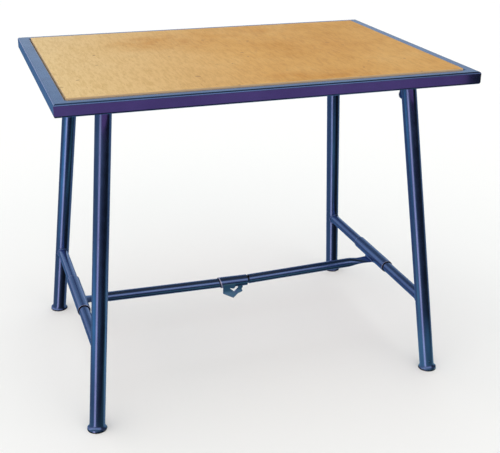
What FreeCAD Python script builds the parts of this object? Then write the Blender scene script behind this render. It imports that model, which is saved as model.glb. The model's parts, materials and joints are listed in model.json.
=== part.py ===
import FreeCAD, Part
import math
import os

# Folding workbench: a board in a square tube frame on two hinged leg frames, tied by a two-part stay.
# Millimetres, +Z up, origin on the floor under the middle of the top, long side along X.

V = FreeCAD.Vector
X_AXIS, Y_AXIS, Z_AXIS = V(1, 0, 0), V(0, 1, 0), V(0, 0, 1)
SAME_PLACE = 0.01

# Driving dimensions: the top
top_length = 1000.0
top_width = 700.0
bench_height = 821.0
board_thickness = 18.0
board_proud = 3.5
board_gap = 1.0
board_edge_round = 2.0
rail_size = 30.0
rail_wall = 2.0
rail_radius = 5.0
least_inner_radius = 0.5
ledge_length = 40.0
ledge_depth = 22.0
ledge_thickness = 3.0
ledge_spots_long = (-200.0, 0.0, 200.0)
ledge_spots_short = (-150.0, 150.0)
screw_diameter = 4.8
screw_length = 12.0
screw_head_diameter = 9.0
screw_head_height = 2.5
screw_hole_clearance = 0.2

# Driving dimensions: the leg hinges
hinge_bar_width = 40.0
hinge_bar_depth = 15.0
hinge_bar_wall = 2.0
hinge_bar_radius = 3.0
pivot_drop = 52.5
hanger_width = 24.0
hanger_thickness = 5.0
hanger_flange = 34.0
hanger_flange_width = 54.0
hanger_bend = 4.0
hanger_leg_gap = 1.5
pivot_diameter = 14.0
pivot_end = 9.0
pivot_clearance = 0.05
washer_diameter = 26.0
washer_thickness = 2.0
ring_diameter = 20.0
ring_thickness = 1.5
ring_groove = 1.0
hanger_bolt_diameter = 8.0
hanger_bolt_head = 13.0
hanger_bolt_head_height = 5.3
hanger_bolt_spread = 28.0
hanger_bolt_clearance = 0.3

# Driving dimensions: the leg frames
leg_diameter = 38.0
leg_wall = 2.0
leg_inset_x = 125.0
leg_inset_y = 126.0
leg_splay_x = 75.0
leg_splay_y = 98.0
leg_above_pivot = 30.0
foot_diameter = 48.0
foot_flare_length = 15.0
foot_rim_height = 3.0
flare_share_wide = 0.22
flare_share_high = 0.45
drain_hole_diameter = 7.0
drain_hole_height = 26.0
cross_tube_diameter = 28.0
cross_tube_wall = 2.0
cross_tube_height = 199.0

# Driving dimensions: the stay
stay_sleeve_diameter = 33.7
stay_sleeve_length = 180.0
stay_sleeve_clearance = 0.05
stay_diameter = 26.0
stay_wall = 2.0
stay_drop = 14.5
stay_dip = 9.5
stay_flat_thickness = 6.0
stay_flat_length = 70.0
stay_press = ((0.0, 0.0), (0.25, 0.12), (0.5, 0.5), (0.75, 0.88), (1.0, 1.0))
left_stay_end = -10.0
right_stay_end = 44.0
lock_diameter = 30.6
lock_clearance = 0.08
lock_left = -39.0
lock_right = 39.0
lock_slant = 16.0
tongue_clearance = 2.2
tongue_plug = 30.0
tongue_plug_clearance = 0.05
tongue_half_gap = 4.0
tongue_lip_reach = 3.0
tongue_lip_length = 7.0
tongue_lip_middle = 8.75
tongue_lip_play = 1.3
plate_thickness = 3.5
pull_left = -33.0
pull_heel_drop = 28.0
pull_tip_x = -3.0
pull_tip_drop = 44.5
pull_end_x = 9.0
pull_end_drop = 33.0
slot_low_x = -2.2
slot_low_drop = 24.2
slot_end_x = -13.0
slot_end_drop = 14.6
slot_end_width = 1.9
lug_tip_x = -3.4
lug_tip_drop = 15.7
lug_side_x = 2.0
lug_side_drop = 11.0
arm_left = 11.5
arm_right = 25.0
arm_shoulder_drop = 16.4
arm_waist = 22.0
arm_waist_drop = 20.0
arm_heel_drop = 28.5
arm_foot_x = 1.5
arm_foot_drop = 26.0
arm_foot_depth = 7.0

# Places worked out from the driving dimensions
rail_top = bench_height - board_proud
rail_bottom = rail_top - rail_size
board_bottom = bench_height - board_thickness
inner_x = top_length / 2 - rail_size
inner_y = top_width / 2 - rail_size
hinge_bar_bottom = board_bottom - hinge_bar_depth
pivot_height = rail_bottom - pivot_drop
leg_foot_x = top_length / 2 - leg_inset_x + leg_splay_x
leg_foot_y = top_width / 2 - leg_inset_y + leg_splay_y
lean_x = leg_splay_x / rail_bottom
lean_y = leg_splay_y / rail_bottom
stay_height = cross_tube_height - stay_drop

LEFT, RIGHT, FRONT, BACK = -1, 1, -1, 1
SIDES = {"left": LEFT, "right": RIGHT}
ENDS = {"front": FRONT, "back": BACK}


def leg_x(z):
    return leg_foot_x - lean_x * z


def leg_y(z):
    return leg_foot_y - lean_y * z


pivot_x = leg_x(pivot_height)
cross_tube_x = leg_x(cross_tube_height)


def rod(diameter, start, end):
    """Round bar between two points."""
    along = end - start
    return Part.makeCylinder(diameter / 2, along.Length, start, along)


def box(x0, x1, y0, y1, z0, z1):
    return Part.makeBox(x1 - x0, y1 - y0, z1 - z0, V(x0, y0, z0))


def outline(points, normal, depth):
    """Flat shape with straight edges, given thickness along its normal."""
    wire = Part.makePolygon(points + points[:1])
    return Part.Face(wire).extrude(normal * depth)


def rounded_bar(width, depth, radius, length):
    """Bar along Y from y = 0 with a rounded rectangular section centred on X and Z."""
    bar = box(-width / 2, width / 2, 0, length, -depth / 2, depth / 2)
    long_edges = [e for e in bar.Edges if e.BoundBox.YLength > length / 2]
    return bar.makeFillet(radius, long_edges)


def hollow_bar(width, depth, wall, radius, length):
    outer = rounded_bar(width, depth, radius, length)
    inner_radius = max(radius - wall, least_inner_radius)
    return outer.cut(rounded_bar(width - 2 * wall, depth - 2 * wall, inner_radius, length))


def frame_rail(length, reach):
    """Square tube along Y, mitred at both ends; its outer side faces -X at the distance reach."""
    tube = hollow_bar(rail_size, rail_size, rail_wall, rail_radius, length)
    tube.translate(V(-reach + rail_size / 2, -length / 2, rail_top - rail_size / 2))
    corners = [
        V(-reach, -length / 2, rail_bottom),
        V(-reach, length / 2, rail_bottom),
        V(-reach + rail_size, length / 2 - rail_size, rail_bottom),
        V(-reach + rail_size, rail_size - length / 2, rail_bottom),
    ]
    return tube.common(outline(corners, Z_AXIS, rail_size))


def frame_rails():
    """Four tubes meet at mitred, welded corners."""
    short = frame_rail(top_width, top_length / 2)
    long = frame_rail(top_length, top_width / 2)
    turns = {"left": (short, 0), "right": (short, 180), "front": (long, 90), "back": (long, -90)}
    rails = {}
    for side, (rail, turn) in turns.items():
        piece = rail.copy()
        piece.rotate(V(), Z_AXIS, turn)
        rails["frame_rail_" + side] = piece
    return rails


def ledge_places():
    """Middle of each ledge's rail edge and the turn that points its free edge inwards."""
    places = []
    for x in ledge_spots_long:
        places.append((V(x, -inner_y, 0), 0))
        places.append((V(x, inner_y, 0), 180))
    for y in ledge_spots_short:
        places.append((V(-inner_x, y, 0), -90))
        places.append((V(inner_x, y, 0), 90))
    return places


def on_ledges(shape):
    """One copy of a shape on every ledge, drawn for a rail along X with the inside at +Y."""
    copies = []
    for place, turn in ledge_places():
        piece = shape.copy()
        piece.rotate(V(), Z_AXIS, turn)
        piece.translate(place)
        copies.append(piece)
    return copies


def board_ledges():
    """Flat tabs welded to the rails' inner faces carry the board."""
    half = ledge_length / 2
    tab = box(-half, half, 0, ledge_depth, board_bottom - ledge_thickness, board_bottom)
    hole_at = V(0, ledge_depth / 2, board_bottom - ledge_thickness)
    hole = Part.makeCylinder(screw_diameter / 2 + screw_hole_clearance, ledge_thickness, hole_at)
    return Part.makeCompound(on_ledges(tab.cut(hole)))


def board_screws():
    """Pan head screws come up through the tabs into the board."""
    base = board_bottom - ledge_thickness
    at = V(0, ledge_depth / 2, base)
    shank = Part.makeCylinder(screw_diameter / 2, ledge_thickness + screw_length, at)
    head = Part.makeCylinder(screw_head_diameter / 2, screw_head_height, at - V(0, 0, screw_head_height))
    low_edge = [e for e in head.Edges if e.BoundBox.ZMax < base - screw_head_height / 2]
    head = head.makeFillet(screw_head_height / 2, low_edge)
    return Part.makeCompound(on_ledges(shank.fuse(head).removeSplitter()))


def worktop_board():
    """Plywood panel in the frame, a little proud of the rails."""
    half_x = inner_x - board_gap
    half_y = inner_y - board_gap
    panel = box(-half_x, half_x, -half_y, half_y, board_bottom, bench_height)
    upper = [e for e in panel.Edges if e.BoundBox.ZMin > bench_height - board_thickness / 2]
    panel = panel.makeFillet(board_edge_round, upper)
    at = V(0, ledge_depth / 2, board_bottom)
    hole = Part.makeCylinder(screw_diameter / 2 + screw_hole_clearance, screw_length + board_gap, at)
    return panel.cut(Part.makeCompound(on_ledges(hole)))


def hinge_bar(side):
    """Flat rectangular tube across the frame under the board, welded between the long rails."""
    bar = hollow_bar(hinge_bar_width, hinge_bar_depth, hinge_bar_wall, hinge_bar_radius, 2 * inner_y)
    bar.translate(V(side * pivot_x, -inner_y, board_bottom - hinge_bar_depth / 2))
    holes = [hanger_bolt_hole(side, end, x) for end in ENDS.values() for x in hanger_bolt_x(side)]
    return bar.cut(Part.makeCompound(holes))


def hanger_near():
    """Distance from the middle plane to the hanger's face on the leg's side, clear of the leg's top."""
    lean = math.atan(lean_y)
    return leg_y(pivot_height + leg_above_pivot) - leg_diameter / 2 / math.cos(lean) - hanger_leg_gap


def hanger_bolt_y():
    return hanger_near() - hanger_thickness - (hanger_flange - hanger_thickness) / 2


def hanger_bolt_x(side):
    middle = side * pivot_x
    return (middle - hanger_bolt_spread / 2, middle + hanger_bolt_spread / 2)


def hanger_bolt_hole(side, end, x):
    start = V(x, end * hanger_bolt_y(), hinge_bar_bottom - hanger_thickness)
    reach = V(0, 0, hinge_bar_depth)
    return rod(hanger_bolt_diameter + 2 * hanger_bolt_clearance, start, start + reach)


def hinge_hanger(side, end):
    """Bent strap: its flange is bolted under the hinge bar and its eye carries the leg's pivot."""
    middle = side * pivot_x
    near = hanger_near()
    half = hanger_width / 2
    eye = V(middle, 0, pivot_height)
    strap = box(middle - half, middle + half, 0, hanger_thickness, pivot_height, hinge_bar_bottom)
    strap = strap.fuse(Part.makeCylinder(half, hanger_thickness, eye, Y_AXIS))
    wide = hanger_flange_width / 2
    flange = box(middle - wide, middle + wide, 0, hanger_flange,
                 hinge_bar_bottom - hanger_thickness, hinge_bar_bottom)
    plate = strap.fuse(flange).removeSplitter()
    plate = plate.cut(Part.makeCylinder(pivot_diameter / 2 + pivot_clearance, hanger_thickness, eye, Y_AXIS))
    bend = [e for e in plate.Edges if is_line_at(e, hanger_thickness, hinge_bar_bottom - hanger_thickness)]
    plate = plate.makeFillet(hanger_bend, bend)
    if end == FRONT:
        plate.translate(V(0, -near, 0))
    else:
        plate = plate.mirror(V(), Y_AXIS)
        plate.translate(V(0, near, 0))
    holes = [hanger_bolt_hole(side, end, x) for x in hanger_bolt_x(side)]
    return plate.cut(Part.makeCompound(holes))


def is_line_at(edge, y, z):
    """True for an edge along X at the given Y and Z."""
    b = edge.BoundBox
    return max(b.YMax - y, y - b.YMin, b.ZMax - z, z - b.ZMin) < SAME_PLACE


def hexagon(across_flats, height, at):
    radius = across_flats / math.sqrt(3)
    corners = []
    for i in range(6):
        angle = math.radians(60 * i)
        corners.append(at + V(radius * math.cos(angle), radius * math.sin(angle), 0))
    return outline(corners, Z_AXIS, height)


def hanger_bolts():
    """Hex head screws from below, threaded into the hinge bars."""
    bolts = []
    for side in SIDES.values():
        for end in ENDS.values():
            for x in hanger_bolt_x(side):
                seat = V(x, end * hanger_bolt_y(), hinge_bar_bottom - hanger_thickness)
                low = seat - V(0, 0, hanger_bolt_head_height)
                head = hexagon(hanger_bolt_head, hanger_bolt_head_height, low)
                reach = V(0, 0, hanger_thickness + hinge_bar_wall)
                bolts.append(head.fuse(rod(hanger_bolt_diameter, seat, seat + reach)))
    return Part.makeCompound(bolts)


def leg_axis(side, end):
    """Points on a leg's centre line at the floor and towards the top, and the upward direction."""
    foot = V(side * leg_foot_x, end * leg_foot_y, 0)
    up = V(-side * lean_x, -end * lean_y, 1)
    up.normalize()
    return foot, up


def leg_top_length():
    """Length of a leg's centre line from the floor to its upper end."""
    return (pivot_height + leg_above_pivot) * math.sqrt(1 + lean_x ** 2 + lean_y ** 2)


def leg_core(side, end, diameter):
    """Solid bar on a leg's line, used to cope what is welded against the leg."""
    foot, up = leg_axis(side, end)
    return rod(diameter, foot - up * leg_diameter, foot + up * leg_top_length())


def leg(side, end):
    """Round tube whose lower end is spread like a trumpet and cut level with the floor."""
    foot, up = leg_axis(side, end)
    outer, inner = leg_diameter / 2, leg_diameter / 2 - leg_wall
    rim = foot_diameter / 2
    spare = foot_diameter * math.tan(up.getAngle(Z_AXIS))
    long = leg_top_length()
    neck = V(outer, 0, foot_flare_length)
    lip = V(rim, 0, foot_rim_height)
    sag = neck + V((rim - outer) * flare_share_wide, 0, (lip - neck).z * (1 - flare_share_high))
    shift = V(-leg_wall, 0, 0)
    profile = [
        Part.makeLine(V(outer, 0, long), neck),
        Part.Arc(neck, sag, lip).toShape(),
        Part.makeLine(lip, V(rim, 0, -spare)),
        Part.makeLine(V(rim, 0, -spare), V(rim, 0, -spare) + shift),
        Part.makeLine(V(rim, 0, -spare) + shift, lip + shift),
        Part.Arc(lip + shift, sag + shift, neck + shift).toShape(),
        Part.makeLine(neck + shift, V(inner, 0, long)),
        Part.makeLine(V(inner, 0, long), V(outer, 0, long)),
    ]
    tube = Part.Face(Part.Wire(profile)).revolve(V(), Z_AXIS, 360)
    tube.Placement = FreeCAD.Placement(foot, FreeCAD.Rotation(Z_AXIS, up))
    below = box(-top_length, top_length, -top_width, top_width, -foot_diameter, 0)
    tube = tube.cut(below)
    if side == -end:
        tube = tube.cut(drain_hole(side, end))
    return tube


def drain_hole(side, end):
    """Hole through a leg's outward wall, near the foot of one leg of each frame."""
    middle = V(side * leg_x(drain_hole_height), end * leg_y(drain_hole_height), drain_hole_height)
    return rod(drain_hole_diameter, middle, middle + V(0, end * leg_diameter, 0))


def cross_tube(side):
    """Tube between the two legs of a frame, coped to them and welded."""
    half = leg_y(cross_tube_height)
    start = V(side * cross_tube_x, -half, cross_tube_height)
    end = V(side * cross_tube_x, half, cross_tube_height)
    tube = rod(cross_tube_diameter, start, end)
    tube = tube.cut(rod(cross_tube_diameter - 2 * cross_tube_wall, start, end))
    for leg_end in ENDS.values():
        tube = tube.cut(leg_core(side, leg_end, leg_diameter))
    return largest(tube)


def largest(shape):
    """The biggest solid that is left after a cope."""
    return max(shape.Solids, key=lambda s: s.Volume)


def pivot_tip():
    """Distance from the middle plane to a pivot pin's free end."""
    return hanger_near() - hanger_thickness - pivot_end


def ring_place():
    """Distance from the middle plane to the retaining ring's face on the washer's side."""
    return hanger_near() - hanger_thickness - washer_thickness


def pivot_pins(side):
    """Stub pins welded to the legs' inner sides, grooved for their retaining rings."""
    pins = []
    for end in ENDS.values():
        start = V(side * pivot_x, end * leg_y(pivot_height), pivot_height)
        tip = V(side * pivot_x, end * pivot_tip(), pivot_height)
        pin = rod(pivot_diameter, start, tip)
        near = V(side * pivot_x, end * ring_place(), pivot_height)
        far = near - V(0, end * ring_thickness, 0)
        groove = rod(pivot_diameter, near, far).cut(rod(pivot_diameter - 2 * ring_groove, near, far))
        pin = pin.cut(leg_core(side, end, leg_diameter)).cut(groove)
        pins.append(largest(pin))
    return Part.makeCompound(pins)


def on_pivots(side, outer, bore, start, thickness):
    """Flat rings on a frame's two pivot pins, from a distance start towards the middle plane."""
    rings = []
    for end in ENDS.values():
        a = V(side * pivot_x, end * start, pivot_height)
        b = a - V(0, end * thickness, 0)
        rings.append(rod(outer, a, b).cut(rod(bore, a, b)))
    return Part.makeCompound(rings)


def pivot_washers(side):
    start = hanger_near() - hanger_thickness
    return on_pivots(side, washer_diameter, pivot_diameter + 2 * pivot_clearance, start, washer_thickness)


def retaining_rings(side):
    bore = pivot_diameter - 2 * ring_groove
    return on_pivots(side, ring_diameter, bore, ring_place(), ring_thickness)


def stay_sleeve(side):
    """Pipe that turns on the cross tube and carries the stay's flattened end."""
    half = stay_sleeve_length / 2
    start = V(side * cross_tube_x, -half, cross_tube_height)
    end = V(side * cross_tube_x, half, cross_tube_height)
    bore = cross_tube_diameter + 2 * stay_sleeve_clearance
    return rod(stay_sleeve_diameter, start, end).cut(rod(bore, start, end))


def stay_section(x, half_width, half_height):
    """Round or oval section of the stay, square to X."""
    if half_width == half_height:
        ring = Part.Circle(V(), Z_AXIS, half_width).toShape()
    else:
        ring = Part.Ellipse(V(), half_width, half_height).toShape()
    ring.Placement = FreeCAD.Placement(V(x, 0, stay_height), FreeCAD.Rotation(Y_AXIS, Z_AXIS, X_AXIS))
    return Part.Wire(ring)


def stay_tube(side, inner_end):
    """Round tube whose outer end is pressed flat and spread against the sleeve."""
    radius = stay_diameter / 2
    flat_end = side * cross_tube_x
    flat_start = side * (cross_tube_x - stay_sleeve_diameter / 2 - stay_flat_length)
    half_flat = stay_flat_thickness / 2
    half_spread = (math.pi * radius + half_flat * (2 - math.pi / 2)) / 2
    sections = []
    for along, pressed in stay_press:
        x = flat_start + side * stay_flat_length * along
        wide = radius + (half_spread - radius) * pressed * along
        high = radius + (half_flat - radius) * pressed
        sections.append(stay_section(x, wide, high))
    sections.append(stay_section(flat_end, half_spread, half_flat))
    pressed_end = Part.makeLoft(sections, True, False)
    start = V(flat_start, 0, stay_height)
    end = V(inner_end, 0, stay_height)
    round_part = rod(stay_diameter, start, end).cut(rod(stay_diameter - 2 * stay_wall, start, end))
    sleeve_at = V(flat_end, -top_width / 2, cross_tube_height)
    sleeve = Part.makeCylinder(stay_sleeve_diameter / 2, top_width, sleeve_at, Y_AXIS)
    return round_part.fuse(pressed_end.cut(sleeve)).removeSplitter()


def stay_rod(diameter, x0, x1):
    """Round bar on the stay's axis between two values of X."""
    return rod(diameter, V(x0, 0, stay_height), V(x1, 0, stay_height))


def tongue(end, tip, lip_end, upper):
    """Hooked end of a stay: a plug in the tube's bore and half a bar with a lip across the middle."""
    plug = stay_diameter - 2 * stay_wall - 2 * tongue_plug_clearance
    size = stay_diameter - 2 * tongue_clearance
    inwards = 1 if tip < end else -1
    bar = stay_rod(size, min(tip, end), max(tip, end))
    lip = stay_rod(size, min(tip, lip_end), max(tip, lip_end))
    up = 1 if upper else -1
    bar = bar.common(half_space(up * tongue_half_gap, up))
    lip = lip.common(half_space(-up * tongue_lip_reach, up))
    return stay_rod(plug, end, end + inwards * tongue_plug).fuse([bar, lip]).removeSplitter()


def half_space(level, up):
    """Block above or below a level given from the stay's axis."""
    z = stay_height + level
    far = z + up * stay_diameter
    return box(-top_length, top_length, -stay_diameter, stay_diameter, min(z, far), max(z, far))


def stay_tongue_left():
    """Lower hook: drops away from under the right one when the lock sleeve is pulled back."""
    near = tongue_lip_middle + tongue_lip_play / 2
    return tongue(left_stay_end, near + tongue_lip_length, near, False)


def stay_tongue_right():
    near = tongue_lip_middle - tongue_lip_play / 2
    return tongue(right_stay_end, near - tongue_lip_length, near, True)


def lock_sleeve():
    """Sleeve over the stay's joint, cut at a slant on the left."""
    outer = lock_diameter / 2
    shell = stay_rod(lock_diameter, lock_left - outer, lock_right)
    shell = shell.cut(stay_rod(stay_diameter + 2 * lock_clearance, lock_left - outer, lock_right))
    lean = outer * math.tan(math.radians(lock_slant))
    waste = [
        V(lock_left - 2 * outer, -outer, stay_height - outer),
        V(lock_left + lean, -outer, stay_height - outer),
        V(lock_left - lean, -outer, stay_height + outer),
        V(lock_left - 2 * outer, -outer, stay_height + outer),
    ]
    return shell.cut(outline(waste, Y_AXIS, 2 * outer))


def under_lock(points, front):
    """Upright plate coped to the lock sleeve; points give X and the drop below the stay's axis."""
    corners = [V(x, front, stay_height - drop) for x, drop in points]
    plate = outline(corners, Y_AXIS, plate_thickness)
    return largest(plate.cut(stay_rod(lock_diameter, lock_left - lock_diameter, lock_right + lock_diameter)))


def pull_plate():
    """Front half of the pull under the lock sleeve: a slotted gusset that runs out into a slanted finger."""
    return under_lock([
        (pull_left, 0),
        (pull_left, pull_heel_drop),
        (pull_tip_x, pull_tip_drop),
        (pull_end_x, pull_end_drop),
        (pull_end_x, pull_end_drop - plate_thickness),
        (slot_low_x, slot_low_drop),
        (slot_end_x, slot_end_drop),
        (slot_end_x, slot_end_drop - slot_end_width),
        (lug_tip_x, lug_tip_drop),
        (lug_side_x, lug_side_drop),
        (lug_side_x, 0),
    ], -lock_diameter / 2)


def pull_arm():
    """Rear half of the pull: an arm behind the finger's end that goes up to the sleeve's right part."""
    return under_lock([
        (arm_left, 0),
        (arm_right, 0),
        (arm_right, lock_diameter / 2),
        (arm_waist, arm_waist_drop),
        (arm_right, arm_heel_drop),
        (pull_end_x, pull_end_drop + plate_thickness / 2),
        (arm_foot_x, arm_foot_drop + arm_foot_depth),
        (arm_foot_x, arm_foot_drop),
        (arm_left, arm_shoulder_drop),
    ], plate_thickness - lock_diameter / 2)


def dipped(side, shape):
    """A piece of the stay turned about its cross tube, so that the stay hangs lowest in the middle."""
    turned = shape.copy()
    angle = math.degrees(math.atan2(stay_dip, cross_tube_x))
    turned.rotate(V(side * cross_tube_x, 0, cross_tube_height), Y_AXIS, -side * angle)
    return turned


def exports():
    parts = {"worktop_board": worktop_board(), "board_ledges": board_ledges(), "board_screws": board_screws()}
    parts.update(frame_rails())
    parts["hanger_bolts"] = hanger_bolts()
    for name, side in SIDES.items():
        parts["hinge_bar_" + name] = hinge_bar(side)
        parts["cross_tube_" + name] = cross_tube(side)
        parts["pivot_pins_" + name] = pivot_pins(side)
        parts["pivot_washers_" + name] = pivot_washers(side)
        parts["retaining_rings_" + name] = retaining_rings(side)
        parts["stay_sleeve_" + name] = stay_sleeve(side)
        for corner, end in ENDS.items():
            parts["leg_" + name + "_" + corner] = leg(side, end)
            parts["hinge_hanger_" + name + "_" + corner] = hinge_hanger(side, end)
    parts["stay_tube_left"] = dipped(LEFT, stay_tube(LEFT, left_stay_end))
    parts["stay_tube_right"] = dipped(RIGHT, stay_tube(RIGHT, right_stay_end))
    parts["stay_tongue_left"] = dipped(LEFT, stay_tongue_left())
    parts["stay_tongue_right"] = dipped(RIGHT, stay_tongue_right())
    parts["lock_sleeve"] = dipped(LEFT, lock_sleeve())
    parts["pull_plate"] = dipped(LEFT, pull_plate())
    parts["pull_arm"] = dipped(LEFT, pull_arm())
    return parts


os.makedirs("parts", exist_ok=True)
for node, shape in exports().items():
    shape.exportStep("parts/" + node + ".step")
    state = "valid" if shape.isValid() else "INVALID"
    print(node, len(shape.Solids), state, round(shape.Volume / 1000, 1), "cm3")
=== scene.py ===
import json
import math

import bmesh
import bpy
from mathutils import Matrix, Vector


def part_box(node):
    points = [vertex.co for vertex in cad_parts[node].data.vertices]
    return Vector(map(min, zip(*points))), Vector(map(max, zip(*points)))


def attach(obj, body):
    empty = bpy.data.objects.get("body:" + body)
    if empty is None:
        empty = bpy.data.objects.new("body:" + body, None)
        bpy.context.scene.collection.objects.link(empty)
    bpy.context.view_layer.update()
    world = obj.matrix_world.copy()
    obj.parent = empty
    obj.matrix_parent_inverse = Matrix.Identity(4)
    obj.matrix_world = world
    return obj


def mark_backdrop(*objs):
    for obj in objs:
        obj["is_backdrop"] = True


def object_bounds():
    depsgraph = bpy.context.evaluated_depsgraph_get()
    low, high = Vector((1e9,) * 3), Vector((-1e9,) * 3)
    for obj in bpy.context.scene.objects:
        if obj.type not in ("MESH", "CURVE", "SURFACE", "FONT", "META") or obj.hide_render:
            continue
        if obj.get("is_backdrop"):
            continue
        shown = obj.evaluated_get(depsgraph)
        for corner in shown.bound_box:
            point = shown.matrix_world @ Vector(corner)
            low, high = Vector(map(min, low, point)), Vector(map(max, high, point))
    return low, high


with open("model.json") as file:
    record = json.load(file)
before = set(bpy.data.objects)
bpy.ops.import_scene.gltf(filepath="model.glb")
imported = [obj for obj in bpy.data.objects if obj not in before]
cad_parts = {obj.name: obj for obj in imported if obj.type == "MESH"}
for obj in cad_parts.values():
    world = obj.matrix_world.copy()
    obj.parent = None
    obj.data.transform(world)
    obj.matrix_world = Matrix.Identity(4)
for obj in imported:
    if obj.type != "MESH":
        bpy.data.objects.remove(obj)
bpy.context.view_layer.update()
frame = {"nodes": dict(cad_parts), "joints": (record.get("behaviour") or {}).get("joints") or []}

nodes = frame["nodes"]


# Worktop board
# A pressed-wood panel, sanded and lacquered, dropped into the frame so that it stands a little proud.
# The grain runs across the bench; the lacquer soaked in darker in some places and the panel is paler towards
# the left end, with fine flecks and a few dark specks, and the sideways edges are painted paler: painted
# light.

def material(name):
    """Empty node material; returns it with its nodes and a function that links two sockets."""
    made = bpy.data.materials.new(name)
    made.use_nodes = True
    return made, made.node_tree.nodes, made.node_tree.links.new


def adjust(made, **settings):
    """Sets a shader node's attributes, or the values of its inputs by their names."""
    for key, value in settings.items():
        if hasattr(made, key):
            setattr(made, key, value)
        else:
            made.inputs[key.replace("_", " ")].default_value = value
    return made


def node(place, kind, **settings):
    """New shader node with these settings."""
    return adjust(place.new("ShaderNode" + kind), **settings)


def feed(wire, source, socket):
    """Brings another node's output or a plain value to an input; a colour has three numbers."""
    if isinstance(source, bpy.types.NodeSocket):
        wire(source, socket)
    else:
        socket.default_value = (*source, 1) if socket.type == "RGBA" else source


def worked(place, wire, kind, operation, *sources):
    """Output of a Math or VectorMath node, fed with sockets or plain values."""
    made = node(place, kind, operation=operation)
    for source, socket in zip(sources, made.inputs):
        feed(wire, source, socket)
    gives_vector = kind == "VectorMath" and operation not in ("LENGTH", "DOT_PRODUCT")
    return made.outputs["Vector" if gives_vector else "Value"]


def between(place, wire, source, start, stop, **settings):
    """0 where a value is at the start, rising to 1 where it is at the stop."""
    made = node(place, "MapRange", From_Min=start, From_Max=stop, **settings)
    wire(source, made.inputs["Value"])
    return made.outputs["Result"]


def part(place, wire, vector, axis):
    """One of the three parts of a vector."""
    made = node(place, "SeparateXYZ")
    wire(vector, made.inputs["Vector"])
    return made.outputs[axis]


def coordinates(place, kind="Object"):
    """Where a point lies on its own piece, or another of the texture coordinates."""
    return node(place, "TexCoord").outputs[kind]


def stretched(place, wire, scale, shift=(0.0, 0.0, 0.0)):
    """Object coordinates of a piece, scaled differently along its three axes and then shifted."""
    mapping = node(place, "Mapping", Location=shift, Scale=scale)
    wire(coordinates(place), mapping.inputs["Vector"])
    return mapping.outputs["Vector"]


def ramp(place, wire, source, *stops):
    """Colours along a 0 to 1 value; a plain number stands for a grey."""
    made = node(place, "ValToRGB")
    band = made.color_ramp
    while len(band.elements) < len(stops):
        band.elements.new(0.5)
    for element, (at, colour) in zip(band.elements, stops):
        element.position = at
        element.color = (*colour, 1) if isinstance(colour, tuple) else (colour, colour, colour, 1)
    wire(source, made.inputs["Fac"])
    return made.outputs["Color"]


def mixed(place, wire, amount, first, second, blend="MIX"):
    """Two colours mixed by an amount; each may be a socket or a plain value."""
    made = node(place, "Mix", data_type="RGBA", blend_type=blend)
    # The colours of a Mix node are its inputs 6 and 7 and its output 2; the rest serve numbers and vectors.
    for source, socket in ((amount, 0), (first, 6), (second, 7)):
        feed(wire, source, made.inputs[socket])
    return made.outputs[2]


def noise(place, wire, where, scale, detail=4.0, roughness=0.55):
    """Cloudy noise, about 0.25 to 0.75, with this many features per metre."""
    made = node(place, "TexNoise", Scale=scale, Detail=detail, Roughness=roughness)
    wire(where, made.inputs["Vector"])
    return made.outputs["Fac"]


def bump(place, wire, height, strength, distance):
    """Surface tilt from a height map."""
    made = node(place, "Bump", Strength=strength, Distance=distance)
    wire(height, made.inputs["Height"])
    return made.outputs["Normal"]


def finish_nodes(finish, *starts):
    """CAD pieces whose names start this way take one finish."""
    for name in nodes:
        if name.startswith(starts):
            nodes[name].data.materials.clear()
            nodes[name].data.materials.append(finish)


def spot(place, wire, middle, reach, strength, core=0.1):
    """Soft patch in plan: full strength in its core, nothing beyond its reach along X and Y."""
    shares = stretched(place, wire, (1 / reach[0], 1 / reach[1], 0.0),
                       (-middle[0] / reach[0], -middle[1] / reach[1], 0.0))
    away = worked(place, wire, "VectorMath", "LENGTH", shares)
    return between(place, wire, away, 1.0, core, interpolation_type="SMOOTHSTEP", To_Max=strength)


HONEY_DARK = (0.58, 0.300, 0.066)
HONEY = (0.63, 0.338, 0.080)
HONEY_PALE = (0.67, 0.390, 0.105)
PALER_LEFT = (0.73, 0.520, 0.240)
SOAKED = (0.55, 0.250, 0.030)
PALE_EDGE_LIGHT = (0.62, 0.46, 0.27)
STREAK = (0.86, 0.81, 0.70)
FLECK = (0.40, 0.19, 0.05)
SPECK = (0.24, 0.10, 0.03)
GRAIN = (1.0, 0.16, 1.0)
PALER_FROM, PALER_TO = 0.02, -0.46
SOAKED_SPOTS = (
    ((-0.14, 0.16), (0.20, 0.16), 0.8),
    ((0.10, 0.24), (0.26, 0.12), 0.7),
    ((0.22, 0.02), (0.26, 0.18), 0.6),
    ((0.12, -0.29), (0.22, 0.09), 1.0),
)

lacquered_board, place, wire = material("lacquered_board")
shader = adjust(place["Principled BSDF"], Coat_Weight=0.05, Coat_Roughness=0.35, Specular_IOR_Level=0.2)
plain = coordinates(place)
grain = stretched(place, wire, GRAIN)
blotches = noise(place, wire, plain, scale=5.5, detail=6.0, roughness=0.62)
colour = ramp(place, wire, blotches, (0.32, HONEY_DARK), (0.5, HONEY), (0.68, HONEY_PALE))
# Paler towards the left end.
left_end = between(place, wire, part(place, wire, plain, "X"), PALER_FROM, PALER_TO)
colour = mixed(place, wire, left_end, colour, PALER_LEFT)
mottling = noise(place, wire, plain, scale=26.0, detail=5.0, roughness=0.6)
mottled = ramp(place, wire, mottling, (0.36, 1.0), (0.62, 0.25))
for middle, reach, strength in SOAKED_SPOTS:
    soaked = worked(place, wire, "Math", "MULTIPLY", spot(place, wire, middle, reach, strength), mottled)
    colour = mixed(place, wire, soaked, colour, SOAKED)
streaks = noise(place, wire, grain, scale=170.0, detail=5.0, roughness=0.65)
streaked = ramp(place, wire, streaks, (0.36, STREAK), (0.56, 1.0))
colour = mixed(place, wire, 1.0, colour, streaked, "MULTIPLY")
flecks = noise(place, wire, grain, scale=420.0, detail=2.0, roughness=0.5)
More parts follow.
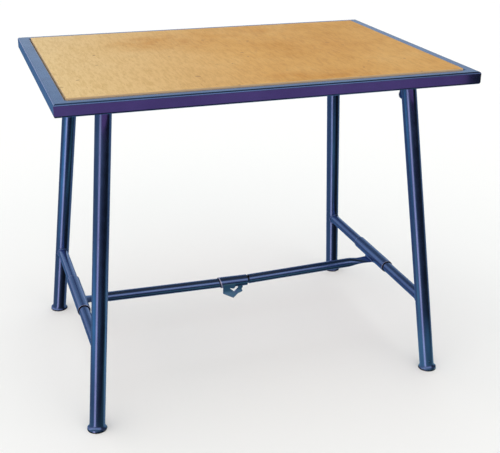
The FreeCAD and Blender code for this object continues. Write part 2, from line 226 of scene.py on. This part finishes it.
colour = mixed(place, wire, ramp(place, wire, flecks, (0.60, 0.0), (0.74, 0.5)), colour, FLECK)
specks = noise(place, wire, plain, scale=58.0, detail=1.0, roughness=0.4)
colour = mixed(place, wire, ramp(place, wire, specks, (0.77, 0.0), (0.80, 0.7)), colour, SPECK)
# The faces that do not look up, the panel's edges, are painted paler: painted light that lifts their shade.
upward = part(place, wire, coordinates(place, "Normal"), "Z")
colour = mixed(place, wire, ramp(place, wire, upward, (0.35, 1.0), (0.95, 0.0)), colour, PALE_EDGE_LIGHT)
wire(colour, shader.inputs["Base Color"])
wire(ramp(place, wire, blotches, (0.3, 0.55), (0.7, 0.42)), shader.inputs["Roughness"])
wire(bump(place, wire, streaks, strength=0.12, distance=0.0005), shader.inputs["Normal"])
finish_nodes(lacquered_board, "worktop_board")


# Frame rails
# Square steel tube, mitred, welded and ground flush at the corners, then sprayed with blue enamel.
# The enamel is glossy with a fine orange peel, and rubbed paler and thinner along the edges.

ENAMEL = (0.110, 0.205, 0.450)
ENAMEL_DEEP = (0.088, 0.162, 0.385)
WEAR_AND_HIGHLIGHT_PALE = (0.33, 0.37, 0.52)
BOTTOM_DARK = (0.012, 0.010, 0.020)
ENAMEL_METALLIC = 0.95
ENAMEL_COAT = 0.4
RAIL_EDGE = 0.0012
SCUFF_STRETCH = (1.0, 1.0, 0.2)


def enamel(name, edge_radius=0.0, dark_below=0.0):
    """Sprayed gloss enamel; edges paled within a radius (wear on the rails, painted highlight on the pull);
    darker below a height.
    """
    made, place, wire = material(name)
    shader = adjust(place["Principled BSDF"], Metallic=ENAMEL_METALLIC, Coat_Weight=ENAMEL_COAT,
                    Coat_Roughness=0.08)
    where = coordinates(place)
    tone = noise(place, wire, where, scale=8.0, detail=5.0, roughness=0.62)
    paint = ramp(place, wire, tone, (0.34, ENAMEL_DEEP), (0.62, ENAMEL))
    scuffs = noise(place, wire, stretched(place, wire, SCUFF_STRETCH), scale=160.0, detail=3.0, roughness=0.6)
    paint = mixed(place, wire, ramp(place, wire, scuffs, (0.68, 0.0), (0.80, 0.3)), paint, WEAR_AND_HIGHLIGHT_PALE)
    if edge_radius:
        rounded = node(place, "Bevel", samples=4, Radius=edge_radius).outputs["Normal"]
        turned = worked(place, wire, "VectorMath", "DOT_PRODUCT", rounded,
                        node(place, "NewGeometry").outputs["Normal"])
        paint = mixed(place, wire, ramp(place, wire, turned, (0.9, 0.55), (0.99, 0.0)), paint, WEAR_AND_HIGHLIGHT_PALE)
    if dark_below:
        low = between(place, wire, part(place, wire, where, "Z"), dark_below, dark_below * 0.8)
        paint = mixed(place, wire, low, paint, BOTTOM_DARK)
    wire(paint, shader.inputs["Base Color"])
    gloss = noise(place, wire, where, scale=35.0, detail=4.0, roughness=0.6)
    wire(ramp(place, wire, gloss, (0.3, 0.17), (0.7, 0.27)), shader.inputs["Roughness"])
    peel = noise(place, wire, where, scale=420.0, detail=2.0, roughness=0.5)
    wire(bump(place, wire, peel, strength=0.05, distance=0.0003), shader.inputs["Normal"])
    return made


rail_enamel = enamel("rail_enamel", edge_radius=RAIL_EDGE)
finish_nodes(rail_enamel, "frame_rail")


# Under the board
# Steel tabs and hinge bars are welded under the top and sprayed with it; bent hangers are bolted to the
# bars. Screws, bolts, pivot pins, washers and rings are zinc plated and stay bright.

finish_nodes(rail_enamel, "board_ledges", "hinge_bar", "hinge_hanger")

ZINC = (0.56, 0.57, 0.58)
ZINC_DULL = (0.36, 0.37, 0.385)

zinc_plate, place, wire = material("zinc_plate")
shader = adjust(place["Principled BSDF"], Metallic=1.0)
where = coordinates(place)
cloudy = noise(place, wire, where, scale=90.0, detail=4.0, roughness=0.6)
wire(ramp(place, wire, cloudy, (0.3, ZINC_DULL), (0.65, ZINC)), shader.inputs["Base Color"])
wire(ramp(place, wire, cloudy, (0.3, 0.5), (0.7, 0.3)), shader.inputs["Roughness"])
spangle = noise(place, wire, where, scale=900.0)
wire(bump(place, wire, spangle, strength=0.1, distance=0.0002), shader.inputs["Normal"])
finish_nodes(zinc_plate, "board_screws", "hanger_bolts", "pivot_", "retaining_")

weld_enamel, place, wire = material("weld_enamel")
shader = adjust(place["Principled BSDF"], Metallic=ENAMEL_METALLIC, Coat_Weight=0.3, Coat_Roughness=0.15)
lumps = noise(place, wire, coordinates(place), scale=300.0, detail=3.0, roughness=0.6)
wire(ramp(place, wire, lumps, (0.35, ENAMEL_DEEP), (0.65, ENAMEL)), shader.inputs["Base Color"])
wire(ramp(place, wire, lumps, (0.3, 0.25), (0.7, 0.4)), shader.inputs["Roughness"])
wire(bump(place, wire, lumps, strength=0.5, distance=0.0008), shader.inputs["Normal"])


def bead(name, points, closed, radius, body, finish=weld_enamel):
    """Round bead of weld, or of another finish, laid through these points on a body."""
    data = bpy.data.curves.new(name, "CURVE")
    data.dimensions = "3D"
    data.bevel_depth = radius
    data.bevel_resolution = 3
    data.resolution_u = 3
    data.use_fill_caps = True
    line = data.splines.new("NURBS")
    line.points.add(len(points) - 1)
    for point, at in zip(line.points, points):
        point.co = (*at, 1.0)
    line.order_u = 3
    line.use_cyclic_u = closed
    line.use_endpoint_u = not closed
    data.materials.append(finish)
    made = bpy.data.objects.new(name, data)
    bpy.context.collection.objects.link(made)
    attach(made, body)


# The bars' welds stop short of the board; points close to each corner keep the bead tight around it.
WELD = 0.0030
BAR_WELD = 0.0024
LOWER_EDGE_SHARES = (0.05, 0.5, 0.95)
for hand in ("left", "right"):
    low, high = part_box("hinge_bar_" + hand)
    for y, end in ((low.y, "front"), (high.y, "back")):
        rim = ((low.x, high.z - WELD), (low.x, low.z), (high.x, low.z), (high.x, high.z - WELD))
        points = [Vector((x, y, z)) for x, z in rim]
        points[2:2] = [points[1].lerp(points[2], share) for share in LOWER_EDGE_SHARES]
        bead(f"bar_weld_{hand}_{end}", points, False, BAR_WELD, "top")


# Leg frames
# Two legs of round steel tube, spread like a trumpet at the foot, with a thinner tube coped between them.
# Each frame is welded all round the copes, then sprayed; inside the tubes the colour is painted near-black
# as painted shade, and the paint is darker at the very bottom of the feet.

LEG_FOOT = Vector((0.450, 0.322, 0.0))
LEG_HEAD = Vector((0.375, 0.224, 0.7875))
LEG_AXIS = (LEG_HEAD - LEG_FOOT).normalized()
LEG_RADIUS = 0.019
FOOT_DARK_HEIGHT = 0.0035
INSIDE_SHADE = (0.010, 0.009, 0.010)
SHADE_STARTS, SHADE_FULL = 0.0003, 0.0006


def repaint(finish, amount, tint):
    """Mixes a tint into the colour that a finish has already."""
    place, wire = finish.node_tree.nodes, finish.node_tree.links.new
    paint = place["Principled BSDF"].inputs["Base Color"]
    wire(mixed(place, wire, amount, paint.links[0].from_socket, tint), paint)


# The four legs mirror each other, so one axis serves all of them on absolute coordinates.
leg_enamel = enamel("leg_enamel", dark_below=FOOT_DARK_HEIGHT)
place, wire = leg_enamel.node_tree.nodes, leg_enamel.node_tree.links.new
mirrored = worked(place, wire, "VectorMath", "ABSOLUTE", coordinates(place))
from_foot = worked(place, wire, "VectorMath", "SUBTRACT", mirrored, LEG_FOOT)
across = worked(place, wire, "VectorMath", "CROSS_PRODUCT", from_foot, LEG_AXIS)
from_axis = worked(place, wire, "VectorMath", "LENGTH", across)
inside = between(place, wire, from_axis, LEG_RADIUS - SHADE_STARTS, LEG_RADIUS - SHADE_FULL)
# Inside the tube the colour is painted near-black and the coat taken off: painted shade in the hollow.
repaint(leg_enamel, inside, INSIDE_SHADE)
wire(ramp(place, wire, inside, (0.0, ENAMEL_COAT), (1.0, 0.0)),
     place["Principled BSDF"].inputs["Coat Weight"])
finish_nodes(leg_enamel, "leg_")
tube_enamel = enamel("tube_enamel")
finish_nodes(tube_enamel, "cross_tube")


def turns(count):
    """Angles of this many even steps round a circle."""
    return [2 * math.pi * step / count for step in range(count)]


def cope_points(low, high, side, end, count=28):
    """Saddle line where a cross tube meets a leg: side and end are the signs of X and Y."""
    axis = Vector((LEG_AXIS.x * side, LEG_AXIS.y * end, LEG_AXIS.z))
    foot = Vector((LEG_FOOT.x * side, LEG_FOOT.y * end, 0.0))
    middle = (low + high) / 2
    radius = (high.x - low.x) / 2
    points = []
    for angle in turns(count):
        x, z = middle.x + radius * math.cos(angle), middle.z + radius * math.sin(angle)
        # Along Y at this X and Z, a, b and c are the quadratic for the places on the leg's surface.
        off_x, off_z = x - foot.x, z - foot.z
        along = off_x * axis.x + off_z * axis.z
        a = 1 - axis.y ** 2
        b = -2 * axis.y * along
        c = off_x ** 2 + off_z ** 2 - along ** 2 - LEG_RADIUS ** 2
        root = math.sqrt(max(b * b - 4 * a * c, 0.0))
        points.append(Vector((x, foot.y + (-b - end * root) / (2 * a), z)))
    return points


for side, hand in ((-1, "left"), (1, "right")):
    low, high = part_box("cross_tube_" + hand)
    for sign, end in ((-1, "front"), (1, "back")):
        bead(f"cope_weld_{hand}_{end}", cope_points(low, high, side, sign), True, WELD, hand + "_legs")


# Stay
# Two steel tubes, pressed flat at their outer ends and welded to pipe sleeves that turn on the cross tubes.
# A sliding sleeve with a small plate pull covers the hooked joint. The sleeves' ends and the pull's lower
# finger are painted paler as painted highlight; the joint's steel and rings at the sleeves' ends are painted
# black as painted shade.

finish_nodes(tube_enamel, "stay_tube")

STAY_AXIS = 0.1845
slide = next(joint["axis"] for joint in frame["joints"] if joint["name"] == "lock_slide")
STAY_SAG = Matrix.Rotation(math.atan2(slide[2], -slide[0]), 3, "Y")


def hung(at):
    """A place on the level left half of the stay, turned about its sleeve as the half hangs."""
    low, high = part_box("stay_sleeve_left")
    middle = (low + high) / 2
    middle.y = 0.0
    return middle + STAY_SAG @ (Vector(at) - middle)


def highlight_along(finish, towards, full_at, none_at, tint, metallic=ENAMEL_METALLIC):
    """Paints a highlight tint into an enamel along a direction and its opposite: full at one distance, none
    at another.
    """
    place, wire = finish.node_tree.nodes, finish.node_tree.links.new
    along = worked(place, wire, "VectorMath", "DOT_PRODUCT", coordinates(place), towards)
    highlit = between(place, wire, worked(place, wire, "Math", "ABSOLUTE", along), none_at, full_at)
    repaint(finish, highlit, tint)
    wire(ramp(place, wire, highlit, (0.0, ENAMEL_METALLIC), (1.0, metallic)),
         place["Principled BSDF"].inputs["Metallic"])
    return finish


# The lock sleeve's slanted left end is painted pale and less metallic: a painted highlight of its lit end
# face.
HIGHLIGHT_TINT = (0.45, 0.48, 0.72)
HIGHLIGHT_METALLIC = 0.3
LOCK_END = -0.039
LOCK_SLANT = math.radians(16)
LOCK_HIGHLIGHT_FULL, LOCK_HIGHLIGHT_NONE = 0.0021, 0.0030
across_end = STAY_SAG @ Vector((math.cos(LOCK_SLANT), 0.0, math.sin(LOCK_SLANT)))
end_at = hung((LOCK_END, 0.0, STAY_AXIS)).dot(across_end)
sleeve_enamel = highlight_along(enamel("sleeve_enamel"), across_end, end_at + LOCK_HIGHLIGHT_FULL, end_at + LOCK_HIGHLIGHT_NONE,
                             HIGHLIGHT_TINT, HIGHLIGHT_METALLIC)
finish_nodes(sleeve_enamel, "lock_sleeve")

# The stay sleeves' ends are painted pale the same way: a painted highlight of their lit end faces.
RIM_HIGHLIGHT_FULL, RIM_HIGHLIGHT_NONE = 0.0002, 0.0005
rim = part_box("stay_sleeve_left")[1].y
rim_enamel = highlight_along(enamel("rim_enamel"), (0.0, 1.0, 0.0), rim - RIM_HIGHLIGHT_FULL, rim - RIM_HIGHLIGHT_NONE,
                          HIGHLIGHT_TINT, HIGHLIGHT_METALLIC)
finish_nodes(rim_enamel, "stay_sleeve")

# The pull's lower finger is painted paler and its edges pale: a painted highlight.
PULL_HIGHLIGHT = (0.30, 0.36, 0.72)
PULL_HIGHLIGHT_BELOW, PULL_PLAIN_ABOVE = 0.148, 0.156
PULL_EDGE = 0.001
pull_enamel = highlight_along(enamel("pull_enamel", edge_radius=PULL_EDGE), (0.0, 0.0, 1.0),
                           PULL_HIGHLIGHT_BELOW, PULL_PLAIN_ABOVE, PULL_HIGHLIGHT)
finish_nodes(pull_enamel, "pull_plate", "pull_arm")

SHADE_BLACK = (0.012, 0.011, 0.013)
SHADE_BLACK_THIN = (0.060, 0.058, 0.060)
SHADE_RING_RADIUS = 0.0012
SHADE_RING_STEPS = 32
LOCK_SHADE_RING = 0.0138
SLEEVE_SHADE_RING = 0.0149

# A near-black finish as painted shade, on the joint's steel in the gap at the lock sleeve's right end.
shade_black_steel, place, wire = material("shade_black_steel")
shader = adjust(place["Principled BSDF"], Metallic=0.95)
shade_mottle = noise(place, wire, coordinates(place), scale=140.0, detail=4.0, roughness=0.6)
wire(ramp(place, wire, shade_mottle, (0.4, SHADE_BLACK), (0.7, SHADE_BLACK_THIN)), shader.inputs["Base Color"])
wire(ramp(place, wire, shade_mottle, (0.3, 0.3), (0.7, 0.5)), shader.inputs["Roughness"])
wire(bump(place, wire, shade_mottle, strength=0.2, distance=0.0004), shader.inputs["Normal"])
finish_nodes(shade_black_steel, "stay_tongue")

# A near-black ring at the lock sleeve's slanted end: painted shade in the step there.
points = []
for angle in turns(SHADE_RING_STEPS):
    out, rise = LOCK_SHADE_RING * math.cos(angle), LOCK_SHADE_RING * math.sin(angle)
    points.append(hung((LOCK_END - SHADE_RING_RADIUS - rise * math.tan(LOCK_SLANT), out, STAY_AXIS + rise)))
bead("lock_painted_shade", points, True, SHADE_RING_RADIUS, "lock", shade_black_steel)

# Near-black rings at both ends of each stay sleeve: painted shade in the gaps there.
for hand in ("left", "right"):
    low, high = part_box("stay_sleeve_" + hand)
    middle = (low + high) / 2
    for y, end in ((low.y - SHADE_RING_RADIUS / 2, "front"), (high.y + SHADE_RING_RADIUS / 2, "back")):
        points = [Vector((middle.x + SLEEVE_SHADE_RING * math.cos(angle), y,
                          middle.z + SLEEVE_SHADE_RING * math.sin(angle))) for angle in turns(SHADE_RING_STEPS)]
        bead(f"sleeve_painted_shade_{hand}_{end}", points, True, SHADE_RING_RADIUS, hand + "_stay", shade_black_steel)

# Each weld runs up the sleeve on one edge of the pressed end, over its top and down the other edge.
FLAT_TOP = 0.1875
FLAT_HALF = Vector((0.0, 0.0211, 0.0))
FLAT_STEPS = 5
STAY_WELDS = (("left", -1, 0.0042), ("right", 1, 0.0026))
for hand, side, radius in STAY_WELDS:
    low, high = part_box("stay_sleeve_" + hand)
    middle = (low + high) / 2
    middle.y = 0.0
    pipe = (high.z - low.z) / 2
    top = math.acos((middle.z - FLAT_TOP) / pipe)
    points = []
    for step in range(FLAT_STEPS + 1):
        angle = top * step / FLAT_STEPS
        points.append(middle - pipe * Vector((side * math.sin(angle), 0.0, math.cos(angle))))
    front = [at - FLAT_HALF for at in points]
    back = [at + FLAT_HALF for at in reversed(points)]
    bead("stay_weld_" + hand, front + [points[-1]] + back, False, radius, hand + "_stay")


# Studio
# A plain white floor and far wall under a wide soft box, inside a ring of screens that the paint reflects:
# cool on the left, a bright strip beside the camera, black on the right, pale behind. The floor takes light
# and shadow; a violet card in front and a faint glow on the floor show only in the paint's reflections.

def studio_piece(name, shape, finish, *hidden_from):
    """Object made from a bmesh, left out of these kinds of rays."""
    data = bpy.data.meshes.new(name)
    shape.to_mesh(data)
    shape.free()
    data.materials.append(finish)
    made = bpy.data.objects.new(name, data)
    for rays in hidden_from:
        setattr(made, "visible_" + rays, False)
    bpy.context.collection.objects.link(made)
    return made


def reflected_sheet(name, corners, finish):
    """Flat sheet that lights nothing and shows only in reflections."""
    shape = bmesh.new()
    shape.faces.new([shape.verts.new(corner) for corner in corners])
    return studio_piece(name, shape, finish, "camera", "diffuse", "shadow")


FLOOR_SIZE = 40.0
FLOOR_WHITE = (0.9, 0.9, 0.9)
floor_finish, place, wire = material("white_floor")
adjust(place["Principled BSDF"], Base_Color=(*FLOOR_WHITE, 1), Roughness=0.9, Specular_IOR_Level=0.0)
shape = bmesh.new()
bmesh.ops.create_grid(shape, x_segments=1, y_segments=1, size=FLOOR_SIZE / 2)
floor = studio_piece("floor", shape, floor_finish, "diffuse", "glossy")

GLOW_REACH = 3.0
GLOW_HEIGHT = 0.0005
FLOOR_GLOWS = (
    ((-1.60, -0.20), (1.00, 1.20), (0.14, 0.46, 0.52)),
    ((-0.55, -1.55), (0.50, 0.60), (0.10, 0.20, 0.22)),
    ((0.10, -0.30), (0.80, 0.27), (0.17, 0.34, 0.27)),
    ((0.55, -0.60), (0.36, 0.30), (0.16, 0.32, 0.32)),
)
glow_finish, place, wire = material("floor_glow")
light = node(place, "BsdfTransparent").outputs["BSDF"]
for middle, reach, tint in FLOOR_GLOWS:
    shine = node(place, "Emission", Color=(*tint, 1))
    wire(spot(place, wire, middle, reach, 1.0), shine.inputs["Strength"])
    both = node(place, "AddShader")
    wire(light, both.inputs[0])
    wire(shine.outputs["Emission"], both.inputs[1])
    light = both.outputs["Shader"]
wire(light, place["Material Output"].inputs["Surface"])
glow = reflected_sheet("floor_glow", [(x * GLOW_REACH, y * GLOW_REACH, GLOW_HEIGHT)
                                      for x, y in ((-1, -1), (1, -1), (1, 1), (-1, 1))], glow_finish)

FRONT_SCREEN = (0.50, 0.18, 0.34)
FRONT_LEFT, FRONT_RIGHT = -0.55, 0.56
FRONT_LOW, FRONT_HIGH = 0.715, 0.795
FRONT_Y = -0.50
screen_finish, place, wire = material("front_screen")
shine = node(place, "Emission", Color=(*FRONT_SCREEN, 1))
wire(shine.outputs["Emission"], place["Material Output"].inputs["Surface"])
front_screen = reflected_sheet("front_screen", [
    (FRONT_LEFT, FRONT_Y, FRONT_LOW), (FRONT_RIGHT, FRONT_Y, FRONT_LOW),
    (FRONT_RIGHT, FRONT_Y, FRONT_HIGH), (FRONT_LEFT, FRONT_Y, FRONT_HIGH)], screen_finish)

WALL_RADIUS = 15.0
WALL_HEIGHT = 30.0
wall_finish, place, wire = material("white_wall")
wire(node(place, "Emission").outputs["Emission"], place["Material Output"].inputs["Surface"])
shape = bmesh.new()
bmesh.ops.create_cone(shape, cap_ends=False, segments=96, radius1=WALL_RADIUS, radius2=WALL_RADIUS,
                      depth=WALL_HEIGHT)
wall = studio_piece("white_wall", shape, wall_finish, "diffuse", "glossy", "shadow")
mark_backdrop(floor, glow, front_screen, wall)

SOFT_BOX_SIZE = 40.0
SOFT_BOX_HEIGHT = 3.2
SOFT_BOX_POWER = 3950.0
SOFT_BOX_TINT = (0.97, 1.0, 1.0)
soft_box = bpy.data.objects.new("soft_box", bpy.data.lights.new("soft_box", "AREA"))
soft_box.data.size = SOFT_BOX_SIZE
soft_box.data.energy = SOFT_BOX_POWER
soft_box.data.color = SOFT_BOX_TINT
soft_box.matrix_world = Matrix.Translation((0.0, 0.0, SOFT_BOX_HEIGHT))
soft_box.visible_camera = False
soft_box.visible_glossy = False
bpy.context.collection.objects.link(soft_box)

# Screens stand at degrees from straight behind the camera, to its right counted up. The canopy and the
# backdrop change with the height of a direction, and their spans are shares of the way round.
LOOK_TURN = math.radians(19.18)
SCREENS = (
    (-180, (0.14, 0.24, 0.36)), (-165, (0.10, 0.21, 0.38)), (-140, (0.10, 0.21, 0.38)),
    (-125, (0.18, 0.21, 0.25)), (-96, (0.18, 0.21, 0.25)), (-88, (0.18, 0.25, 0.28)),
    (-50, (0.18, 0.25, 0.28)), (-42, (0.28, 0.34, 0.40)), (-35, (2.10, 1.35, 1.28)),
    (-20, (2.10, 1.35, 1.28)), (-14, (0.26, 0.26, 0.27)), (0, (0.09, 0.10, 0.11)),
    (22, (0.04, 0.03, 0.04)), (48, (0.01, 0.01, 0.01)), (96, (0.01, 0.01, 0.01)),
    (105, (0.26, 0.31, 0.32)), (180, (0.14, 0.24, 0.36)),
)
CANOPY = (
    (0.04, (0.40, 0.30, 0.36)), (0.30, (0.55, 0.50, 0.52)), (0.42, (1.35, 1.10, 1.00)),
    (0.60, (1.35, 1.10, 1.00)), (0.74, (0.22, 0.29, 0.27)),
)
CANOPY_SHADE = ((0.64, 1.0), (0.70, 0.12))
BACKDROP = (
    (0.03, (0.85, 0.85, 0.95)), (0.08, (0.85, 0.85, 0.95)), (0.16, (0.42, 0.55, 0.66)),
    (0.34, (0.36, 0.47, 0.57)), (0.52, (0.16, 0.18, 0.20)),
)
BACKDROP_SPAN = ((0.11, 0.0), (0.20, 1.0), (0.92, 1.0), (0.96, 0.0))
SCREENS_TOP, CANOPY_FOOT = -0.02, 0.05
to_the_right = Vector((math.cos(LOOK_TURN), -math.sin(LOOK_TURN), 0.0))
to_the_back = Vector((math.sin(LOOK_TURN), math.cos(LOOK_TURN), 0.0))
world = bpy.data.worlds.new("studio")
bpy.context.scene.world = world
world.use_nodes = True
place, wire = world.node_tree.nodes, world.node_tree.links.new
sky = coordinates(place, "Generated")
bearing = worked(place, wire, "Math", "ARCTAN2",
                 worked(place, wire, "VectorMath", "DOT_PRODUCT", sky, to_the_right),
                 worked(place, wire, "VectorMath", "DOT_PRODUCT", sky, -to_the_back))
turn = between(place, wire, bearing, -math.pi, math.pi)
height = part(place, wire, sky, "Z")
screens = ramp(place, wire, turn, *[((degrees + 180) / 360, tint) for degrees, tint in SCREENS])
canopy = mixed(place, wire, 1.0, ramp(place, wire, turn, *CANOPY_SHADE), ramp(place, wire, height, *CANOPY),
               "MULTIPLY")
overhead = mixed(place, wire, ramp(place, wire, turn, *BACKDROP_SPAN), ramp(place, wire, height, *BACKDROP),
                 canopy)
above = between(place, wire, height, SCREENS_TOP, CANOPY_FOOT, interpolation_type="SMOOTHSTEP")
wire(mixed(place, wire, above, screens, overhead), place["Background"].inputs["Color"])
bpy.context.scene.view_settings.view_transform = "Standard"

LENS = 65.5
SENSOR = 36.0
CAMERA_AT = Vector((-0.7081, -2.1730, 1.3208))
LOOK_DOWN = math.radians(23.18)
ROLL = math.radians(0.67)
ahead = math.cos(LOOK_DOWN) * to_the_back - math.sin(LOOK_DOWN) * Vector((0.0, 0.0, 1.0))
upright = to_the_right.cross(ahead)
right = math.cos(ROLL) * to_the_right + math.sin(ROLL) * upright
up = math.cos(ROLL) * upright - math.sin(ROLL) * to_the_right
lens = bpy.data.cameras.new("camera")
lens.lens = LENS
lens.sensor_width = SENSOR
lens.sensor_fit = "HORIZONTAL"
camera = bpy.data.objects.new("camera", lens)
camera.matrix_world = Matrix.Translation(CAMERA_AT) @ Matrix((right, up, -ahead)).transposed().to_4x4()
bpy.context.collection.objects.link(camera)
bpy.context.scene.camera = camera

low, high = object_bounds()
